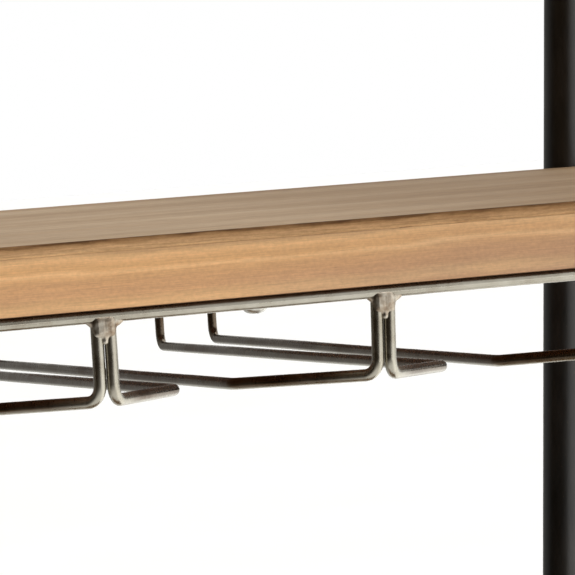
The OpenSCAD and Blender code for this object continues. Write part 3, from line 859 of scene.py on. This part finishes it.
def node_islands(node):
    """The box of each separate solid in a CAD node."""
    mesh = frame["nodes"][node].data
    bm = bmesh.new()
    bm.from_mesh(mesh)
    bmesh.ops.remove_doubles(bm, verts=bm.verts, dist=1e-6)
    unseen = set(bm.verts)
    islands = []
    while unseen:
        stack = [unseen.pop()]
        group = []
        while stack:
            vertex = stack.pop()
            group.append(vertex.co.copy())
            for edge in vertex.link_edges:
                other = edge.other_vert(vertex)
                if other in unseen:
                    unseen.remove(other)
                    stack.append(other)
        low = Vector(min(p[i] for p in group) for i in range(3))
        high = Vector(max(p[i] for p in group) for i in range(3))
        islands.append((low, high))
    bm.free()
    return sorted(islands, key=lambda box: tuple(box[0]))


def rounded_square(width, depth, radius, count):
    """Points of a rounded rectangle about the origin, by equal angles."""
    points = []
    for c, s in circle(count, 0.5):
        way = Vector((c, s))
        reach = min(width / 2 / max(abs(way.x), 1e-6), depth / 2 / max(abs(way.y), 1e-6))
        corner = Vector((math.copysign(width / 2 - radius, way.x), math.copysign(depth / 2 - radius, way.y)))
        point = way * reach
        if abs(point.x) > width / 2 - radius and abs(point.y) > depth / 2 - radius:
            point = corner + (point - corner).normalized() * radius
        points.append(point)
    return points


def make_tabs(material):
    bm = bmesh.new()
    for low, high in node_islands("rack_tabs"):
        middle = (low + high) / 2
        inner_end = low.y if middle.y < 0 else high.y
        hole_y = inner_end + (8 - 0.05) * MM * (1 if middle.y < 0 else -1)
        size = high - low
        outline = [p + Vector((0, middle.y - hole_y)) for p in rounded_square(size.x, size.y, 2.5 * MM, 48)]
        angles = [math.atan2(p[1], p[0]) for p in outline]
        hole = [Vector((2.3 * MM * math.cos(a), 2.3 * MM * math.sin(a))) for a in angles]
        place = Matrix.Translation((middle.x, hole_y, low.z))
        ring_plate(bm, outline, hole, size.z, 0.5 * MM, place)
    place_piece(finish_mesh(bm, "welded_tabs"), material, "frame", ["rack_tabs"])


# ---- Hoops and cross members ----
def hoop_line(node, side):
    """The centre line of a hoop, from one foot over the handle to the other."""
    low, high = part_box(node)
    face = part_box("upper_shelf_face")
    pivot = Vector((side * HOOP_HALF_SPAN, 0, face[1].z))
    reach = high.y - HOOP_RADIUS
    foot = -(face[1].z - low.z) / math.cos(HOOP_LEAN) - 2 * MM
    corners = [(0, -reach, foot), (0, -reach, HANDLE_RISE), (0, reach, HANDLE_RISE), (0, reach, foot)]
    lean = Matrix.Rotation(side * HOOP_LEAN, 3, "Y")
    line = subdivided(rounded(corners, HOOP_BEND, 3 * MM), 25 * MM)
    return [pivot + lean @ point for point in line]


def make_hoops(material):
    for name, side in (("end_hoop_left", -1), ("end_hoop_right", 1)):
        foot_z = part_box(name)[0].z
        bm = bmesh.new()
        rings = tube(bm, hoop_line(name, side), HOOP_RADIUS, 48, 0.0, 0.04 * MM)
        for ring in (rings[0], rings[-1]):
            for vertex in ring:
                vertex.co.x += (foot_z - vertex.co.z) * math.tan(side * HOOP_LEAN)
                vertex.co.z = foot_z
        made = finish_mesh(bm, name.replace("end_hoop", "hoop"))
        place_piece(made, material, "frame", [name])


def collar(centre, radius, post_radius, post_y, bead, chance, count):
    """Drops of the weld round a bar that runs along Y into a post."""
    drops = []
    sign = 1 if post_y > 0 else -1
    for c, s in circle(count):
        x = radius * c
        z = radius * s
        y = post_y - sign * math.sqrt(max(0.0, post_radius ** 2 - x ** 2))
        size = bead * (1 + chance.uniform(-0.10, 0.10))
        drops.append((Vector((centre.x + x, y, centre.z + z)), size))
    return drops


def make_member_welds(material):
    """Weld beads where the bearers and guard rails meet the posts."""
    chance = random.Random(17)
    bm = bmesh.new()
    post_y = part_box("end_hoop_right")[1].y - HOOP_RADIUS
    members = []
    for side in ("left", "right"):
        members.append(("upper_bearer_" + side, BEARER_RADIUS, 1.5 * MM, 44))
        members.append(("lower_bearer_" + side, BEARER_RADIUS, 1.5 * MM, 44))
        members.append(("guard_rail_" + side, GUARD_RADIUS, 1.1 * MM, 22))
    for node, radius, bead, count in members:
        low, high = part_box(node)
        for y in (-post_y, post_y):
            drops = collar((low + high) / 2, radius, HOOP_RADIUS, y, bead, chance, count)
            melt_into(bm, drops, 0.55 * MM, 0.25 * MM, 500)
    for node in ("guard_rail_front", "guard_rail_back"):
        low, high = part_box(node)
        middle = (low + high) / 2
        for x in (low.x, high.x):
            end = Vector((x, middle.y, middle.z))
            drops = [(end + Vector((0, c, s)) * GUARD_RADIUS, 1.1 * MM) for c, s in circle(22)]
            melt_into(bm, drops, 0.5 * MM, 0.2 * MM, 500)
    place_piece(finish_mesh(bm, "member_welds"), material, "frame")


def make_rod_end_welds(material):
    bm = bmesh.new()
    for node in ("rack_rod_front", "rack_rod_back"):
        low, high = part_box(node)
        middle = (low + high) / 2
        for x, way in ((low.x, 1), (high.x, -1)):
            drops = [
                (Vector((x + way * 0.4 * MM, middle.y, middle.z - 0.8 * MM)), 2.3 * MM),
                (Vector((x + way * 2.2 * MM, middle.y, middle.z - 0.9 * MM)), 1.9 * MM),
            ]
            melt_into(bm, drops, 0.4 * MM, 0.2 * MM, 700)
    place_piece(finish_mesh(bm, "rod_end_welds"), material, "frame")


# ---- Casters ----
def corner_place(corner):
    """Where a caster stands: its swivel axis on Z, its wheel trailing to -X before mirroring."""
    swivel = next(j for j in frame["joints"] if j["name"] == corner + "_swivel")
    x, y, _z = swivel["pos_m"]
    mirror = Matrix.Diagonal((1 if "left" in corner else -1, 1 if "front" in corner else -1, 1, 1))
    return Matrix.Translation((x, y, 0)) @ mirror


def on_axle(corner):
    """The wheel's own frame: Z along the axle."""
    wheel_z = (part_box(corner + "_wheel_tyre")[0].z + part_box(corner + "_wheel_tyre")[1].z) / 2
    lie_down = Matrix.Rotation(-math.pi / 2, 4, "X")
    return corner_place(corner) @ Matrix.Translation((-TRAIL, 0, wheel_z)) @ lie_down


def mirrored(half, rounding):
    """A closed outline from its upper half in mm, with its corners softened."""
    upper = mm(half)
    lower = [(r, -h) for r, h in reversed(upper)]
    return softened(upper + lower, rounding)


def tyre_profile():
    """The closed outline of the tyre, with two tread grooves and a rib on each wall."""
    return mirrored([
        (28.6, 9.5), (31.6, 12.0), (32.4, 12.0), (32.7, 11.6), (33.3, 11.6), (33.6, 12.0), (34.2, 12.0),
        (36.6, 9.6), (37.3, 7.6), (37.45, 6.6), (37.45, 4.5), (36.7, 4.2), (36.7, 3.5), (37.5, 3.2),
        (37.5, 1.0),
    ], 0.35 * MM)


def rim_profile():
    """The closed outline of the rim: bored hub, web and rim."""
    return mirrored([
        (5.05, 13.0), (10.3, 13.0), (11.0, 12.3), (11.3, 3.6), (12.0, 3.0), (23.8, 3.0), (24.5, 3.7),
        (24.7, 9.0), (25.2, 9.5), (27.9, 9.5), (28.5, 8.9), (28.5, 1.0),
    ], 0.5 * MM)


def drilled(made, spots, radius, depth):
    """Cuts round holes through an object: each spot is a place matrix whose Z is the hole's axis."""
    bm = bmesh.new()
    for place in spots:
        bmesh.ops.create_cone(
            bm, cap_ends=True, segments=40, radius1=radius, radius2=radius, depth=depth, matrix=place
        )
    cutter = finish_mesh(bm, "cutter")
    cut = made.modifiers.new("holes", "BOOLEAN")
    cut.operation = "DIFFERENCE"
    cut.solver = "EXACT"
    cut.object = cutter
    mesh = with_modifiers(made)
    made.modifiers.clear()
    made.data = mesh
    bpy.data.objects.remove(cutter)


def make_wheel(corner, tyre_material, rim_material):
    place = on_axle(corner)
    bm = bmesh.new()
    lathe(bm, tyre_profile(), 96, place, close=True)
    tyre = finish_mesh(bm, corner + "_tyre", 50)
    place_piece(tyre, tyre_material, corner + "_wheel", [corner + "_wheel_tyre"])
    bm = bmesh.new()
    lathe(bm, rim_profile(), 72, place, close=True)
    rim = finish_mesh(bm, corner + "_rim", 50)
    spots = []
    for i in range(6):
        turn = Matrix.Rotation(i * math.pi / 3, 4, "Z")
        spots.append(place @ turn @ Matrix.Translation((17.75 * MM, 0, 0)))
    drilled(rim, spots, 4 * MM, 20 * MM)
    place_piece(rim, rim_material, corner + "_wheel", [corner + "_wheel_rim"])


def leg_outline(braked):
    """The outline of a fork leg in X and Z, with the wheel's eye at its lower end."""
    eye = arc(WHEEL_CENTRE, 12, -165, 15, 13)
    right = [(16, 76), (16, 84.4)]
    left = [(-20, 84.4), (-26, 74)]
    if braked:
        left = [(-30, 84.4), *arc(BRAKE_PIVOT, 6.5, 90, 22.5, 9), (-44, 68), (-33, 62)]
    return softened(mm(eye + right + left), 2.0 * MM)


def make_fork(corner, material):
    braked = corner.startswith("front")
    place = corner_place(corner)
    bm = bmesh.new()
    stand = place @ Matrix.Rotation(math.pi / 2, 4, "X")
    for y in (FORK_GAP + FORK_PLATE, -FORK_GAP):
        plate(bm, leg_outline(braked), FORK_PLATE, 0.5 * MM, stand @ Matrix.Translation((0, 0, -y)))
    width = 2 * (FORK_GAP + FORK_PLATE)
    strap = [(-20 * MM, -width / 2), (16 * MM, -width / 2), (16 * MM, width / 2), (-20 * MM, width / 2)]
    lift = place @ Matrix.Translation((0, 0, CROWN_Z - 0.2 * MM))
    plate(bm, softened(strap, 3 * MM), 3.2 * MM, 1.2 * MM, lift)
    crown = [
        (4.05, 84.0), (22.0, 84.0), (23.0, 84.8), (23.0, 86.2), (22.2, 87.0), (17.0, 87.0), (15.6, 87.6),
        (15.0, 88.6), (14.6, 89.6), (13.6, 90.0), (13.2, 90.0), (11.5, 89.0), (9.8, 90.0), (4.05, 90.0),
    ]
    lathe(bm, mm(crown), 72, place, close=True)
    for y in (-FORK_GAP - FORK_PLATE, FORK_GAP + FORK_PLATE):
        way = -1 if y < 0 else 1
        axle_end = Matrix.Translation((-TRAIL, y, WHEEL_CENTRE[1] * MM))
        eye = place @ axle_end @ Matrix.Rotation(-way * math.pi / 2, 4, "X")
        rim = [(6.4, -0.3), (10.0, -0.3), (10.0, 0.0), (9.2, 0.35), (7.2, 0.35), (6.4, 0.0)]
        lathe(bm, mm(rim), 48, eye, close=True)
    made = finish_mesh(bm, corner + "_fork")
    place_piece(made, material, corner + "_caster", [corner + "_caster_fork"])


def hex_prism(bm, place, across_corners, low, high, chamfer):
    """A hexagon nut or bolt head along Z of place, its corners chamfered to a circle at the top."""
    flat = across_corners / 2 * math.cos(math.pi / 6)
    sides = 48
    rings = []
    for level, cut in ((low, 0.0), (high - chamfer, 0.0), (high - chamfer * 0.4, 0.55), (high, 1.0)):
        ring = []
        for k in range(sides):
            angle = 2 * math.pi * k / sides
            wedge = (angle + math.pi / 6) % (math.pi / 3) - math.pi / 6
            hexagon = flat / math.cos(wedge)
            round_top = flat * 0.96
            radius = hexagon + (min(hexagon, round_top) - hexagon) * cut
            ring.append(place @ Vector((radius * math.sin(angle), radius * math.cos(angle), level)))
        rings.append(ring)
    skin(bm, rings)


def make_axle(corner, material):
    place = on_axle(corner)
    outer = 17.0
    bm = bmesh.new()
    threads = [(3.0 if i % 2 else 2.75, outer + 5.4 + i * 0.32) for i in range(9)]
    bolt = [(3.0, -outer), *threads, (2.2, outer + 8.0)]
    lathe(bm, mm(bolt), 32, place)
    washer = [(3.05, 0.05), (6.3, 0.05), (6.3, 0.75), (6.0, 1.0), (3.05, 1.0)]
    lathe(bm, mm((r, outer + h) for r, h in washer), 40, place, close=True)
    hex_prism(bm, place, 11.5 * MM, (outer + 1.0) * MM, (outer + 5.55) * MM, 0.9 * MM)
    flipped = place @ Matrix.Rotation(math.pi, 4, "X")
    hex_prism(bm, flipped, 11.5 * MM, (outer + 0.05) * MM, (outer + 4.55) * MM, 0.9 * MM)
    sleeve = [(3.05, -13.9), (4.7, -13.9), (5.0, -13.6), (5.0, 13.6), (4.7, 13.9), (3.05, 13.9)]
    lathe(bm, mm(sleeve), 40, place, close=True)
    made = finish_mesh(bm, corner + "_axle", 30)
    place_piece(made, material, corner + "_caster", [corner + "_caster_axle"])


def make_pedal(corner, material):
    """The brake pedal: a pressed lever with a shoe, and a ribbed foot plate."""
    place = corner_place(corner)
    width = 25.0 * MM
    stand = place @ Matrix.Rotation(math.pi / 2, 4, "X") @ Matrix.Translation((0, 0, -width / 2))
    boss = arc(BRAKE_PIVOT, 5.5, -75, 18.75, 9)
    arm = [(-55.4, 81.0), (-72, 79), (-84, 72), (-86, 69), (-84, 67.5), (-72, 74)]
    shoe = [(-66, 72), (-68, 60.5), (-63.5, 62.5)]
    bm = bmesh.new()
    plate(bm, softened(mm(boss + arm + shoe), 1.2 * MM), width, 0.8 * MM, stand)
    tread = place @ Matrix.Translation((-84 * MM, 0, 70 * MM)) @ Matrix.Rotation(math.radians(-30), 4, "Y")
    half = width / 2 + 4 * MM
    pad = softened([(0, -half), (13 * MM, -half), (13 * MM, half), (0, half)], 2.5 * MM)
    plate(bm, pad, 3.0 * MM, 0.7 * MM, tread)
    for i in range(4):
        x = (2.4 + i * 2.75) * MM
        ends = [tread @ Vector((x, y, 2.75 * MM)) for y in (-half + 3 * MM, half - 3 * MM)]
        tube(bm, subdivided(ends, 4 * MM), 0.7 * MM, 12, 0.3 * MM)
    made = finish_mesh(bm, corner + "_pedal")
    place_piece(made, material, corner + "_brake", [corner + "_brake_pedal"])


def make_foot_rings(material):
    """Weld beads between each post's foot and its turned plug."""
    bm = bmesh.new()
    chance = random.Random(5)
    for low, high in node_islands("foot_inserts"):
        flange_x = low.x + 12 * MM if low.x > 0 else high.x - 12 * MM
        centre = Vector((flange_x, (low.y + high.y) / 2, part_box("end_hoop_right")[0].z))
        drops = []
        for c, s in circle(44):
            spot = centre + Vector((9.9 * MM * c, 9.9 * MM * s, 0.3 * MM))
            drops.append((spot, (1.25 + chance.uniform(-0.1, 0.1)) * MM))
        melt_into(bm, drops, 0.5 * MM, 0.2 * MM, 500)
    place_piece(finish_mesh(bm, "foot_welds"), material, "frame")


# ---- Materials of the CAD nodes that stay ----
def dress_cad_nodes(by_word):
    """Gives every CAD node that is still shown the material of the first word found in its name."""
    for name, node in frame["nodes"].items():
        for word, material in by_word:
            if word in name:
                node.data.materials.clear()
                node.data.materials.append(material)
                break


# ---- Stage ----
def make_floor():
    """A plain floor. Metal mirrors the world's bright underside instead of it."""
    bm = bmesh.new()
    bmesh.ops.create_grid(bm, x_segments=1, y_segments=1, size=30)
    floor = finish_mesh(bm, "floor")
    floor.data.materials.append(pale_floor())
    floor.visible_glossy = False


def world_lobe(nodes, links, way, axis, stops):
    """Colour by direction: stops are (share, colour), share running from behind the axis to along it."""
    dot = nodes.new("ShaderNodeVectorMath")
    dot.operation = "DOT_PRODUCT"
    dot.inputs[1].default_value = Vector(axis).normalized()
    links.new(way, dot.inputs[0])
    shift = nodes.new("ShaderNodeMath")
    shift.operation = "MULTIPLY_ADD"
    shift.inputs[1].default_value = 0.5
    shift.inputs[2].default_value = 0.5
    links.new(dot.outputs["Value"], shift.inputs[0])
    ramp = nodes.new("ShaderNodeValToRGB")
    set_stops(ramp, [(place, (*colour, 1)) for place, colour in stops])
    links.new(shift.outputs[0], ramp.inputs["Fac"])
    return ramp.outputs["Color"]


def make_world():
    """White to the eye. It lights from the right, below and a little from behind, and is dim to the left."""
    world = bpy.data.worlds.new("studio")
    bpy.context.scene.world = world
    world.use_nodes = True
    nodes = world.node_tree.nodes
    links = world.node_tree.links
    nodes.clear()
    way = nodes.new("ShaderNodeTexCoord").outputs["Generated"]
    right = world_lobe(nodes, links, way, (0.96, 0.12, 0.05), [
        (0.40, (0.035, 0.026, 0.016)),
        (0.54, (0.10, 0.09, 0.075)),
        (0.64, (0.30, 0.29, 0.27)),
        (0.76, (0.85, 0.84, 0.81)),
        (1.0, (1.05, 1.05, 1.02)),
    ])
    behind = world_lobe(nodes, links, way, (-0.25, 1.0, 0.10), [
        (0.64, (0.0, 0.0, 0.0)),
        (0.90, (0.26, 0.27, 0.27)),
    ])
    below = world_lobe(nodes, links, way, (0.25, -0.10, -1.0), [
        (0.57, (0.0, 0.0, 0.0)),
        (0.68, (0.45, 0.45, 0.44)),
        (0.82, (1.0, 1.0, 0.98)),
    ])
    total = right
    for lobe in (behind, below):
        joined = nodes.new("ShaderNodeVectorMath")
        joined.operation = "ADD"
        links.new(total, joined.inputs[0])
        links.new(lobe, joined.inputs[1])
        total = joined.outputs[0]
    around = nodes.new("ShaderNodeBackground")
    links.new(total, around.inputs["Color"])
    seen = nodes.new("ShaderNodeBackground")
    seen.inputs["Color"].default_value = (1, 1, 1, 1)
    share = nodes.new("ShaderNodeMixShader")
    links.new(nodes.new("ShaderNodeLightPath").outputs["Is Camera Ray"], share.inputs["Fac"])
    links.new(around.outputs[0], share.inputs[1])
    links.new(seen.outputs[0], share.inputs[2])
    links.new(share.outputs[0], nodes.new("ShaderNodeOutputWorld").inputs["Surface"])


def add_light(name, kind, power, way):
    """A light that shines along way."""
    light = bpy.data.lights.new(name, kind)
    light.energy = power
    made = add_object(name, light)
    made.rotation_mode = "QUATERNION"
    made.rotation_quaternion = Vector(way).to_track_quat("-Z", "Y")
    return made


def make_area(name, spot, target, size, power):
    made = add_light(name, "AREA", power, Vector(target) - Vector(spot))
    made.location = spot
    made.visible_camera = False
    made.data.shape = "RECTANGLE"
    made.data.size = size[0]
    made.data.size_y = size[1]


def make_lights():
    sun = add_light("soft_sky", "SUN", 1.98, (-0.25, 0.10, -1.0))
    sun.data.angle = math.radians(70)
    make_area("right_front_box", (1.5, -2.1, 1.5), (0.05, -0.2, 0.72), (2.6, 1.8), 7.5)
    make_area("low_front_box", (1.1, -2.6, 0.18), (0.3, -0.2, 0.55), (1.8, 0.4), 3.5)


def make_camera():
    """Close to the front edge of the upper board, left of centre, looking right and a little down."""
    swing = math.radians(18.286)
    dip = math.radians(3.414)
    roll = math.radians(-3.883)
    forward = Vector((math.sin(swing) * math.cos(dip), math.cos(swing) * math.cos(dip), -math.sin(dip)))
    right = Vector((math.cos(swing), -math.sin(swing), 0))
    up = right.cross(forward)
    rolled_right = right * math.cos(roll) + up * math.sin(roll)
    rolled_up = up * math.cos(roll) - right * math.sin(roll)
    data = bpy.data.cameras.new("camera")
    data.sensor_width = 36
    data.lens = 187.9
    camera = add_object("camera", data)
    turn = Matrix((rolled_right, rolled_up, -forward)).transposed()
    camera.matrix_world = Matrix.Translation((-0.23556, -1.09768, 0.77649)) @ turn.to_4x4()
    bpy.context.scene.camera = camera


def main():
    noise.seed_set(WAVE_SEED)
    bpy.context.scene.view_settings.view_transform = "Standard"
    rod_steel = bare_steel("rod_steel", (25, 1500, 1500))
    wire_steel = bare_steel("wire_steel", (700, 700, 90), 0.06, 0.95)
    weld = weld_metal()
    dark = dark_steel("dark_steel", tone(13, 9, 5), tone(30, 23, 16), 0.30)
    pedal = dark_steel("pedal_steel", tone(34, 33, 32), tone(58, 55, 52), 0.38)
    zinc = zinc_plate("zinc_plate", tone(206, 206, 204), tone(168, 170, 172))
    screw = zinc_plate("screw_plate", tone(214, 212, 204), tone(170, 166, 156))
    rim = moulded("rim_grey", tone(66, 67, 69), tone(92, 93, 95), 0.42, 1500)
    rubber = moulded("tyre_rubber", tone(30, 30, 31), tone(58, 57, 56), 0.62, 2400)
    make_boards()
    make_wires(wire_steel)
    make_rack_welds(weld)
    make_rods(rod_steel)
    make_tabs(wire_steel)
    make_screws(screw)
    make_hoops(dark)
    make_member_welds(dark)
    make_foot_rings(dark)
    make_rod_end_welds(weld)
    for corner in CORNERS:
        make_wheel(corner, rubber, rim)
        make_fork(corner, zinc)
        make_axle(corner, zinc)
    for corner in CORNERS[:2]:
        make_pedal(corner, pedal)
    dress_cad_nodes([
        ("bearer", dark), ("guard_rail", dark), ("foot_inserts", dark), ("hoop", dark),
        ("caster", zinc), ("brake_pin", zinc), ("brake_pedal", pedal), ("wheel_rim", rim),
        ("wheel_tyre", rubber), ("screws", screw), ("rack", wire_steel), ("shelf", zinc),
    ])
    make_floor()
    make_world()
    make_lights()
    make_camera()


main()
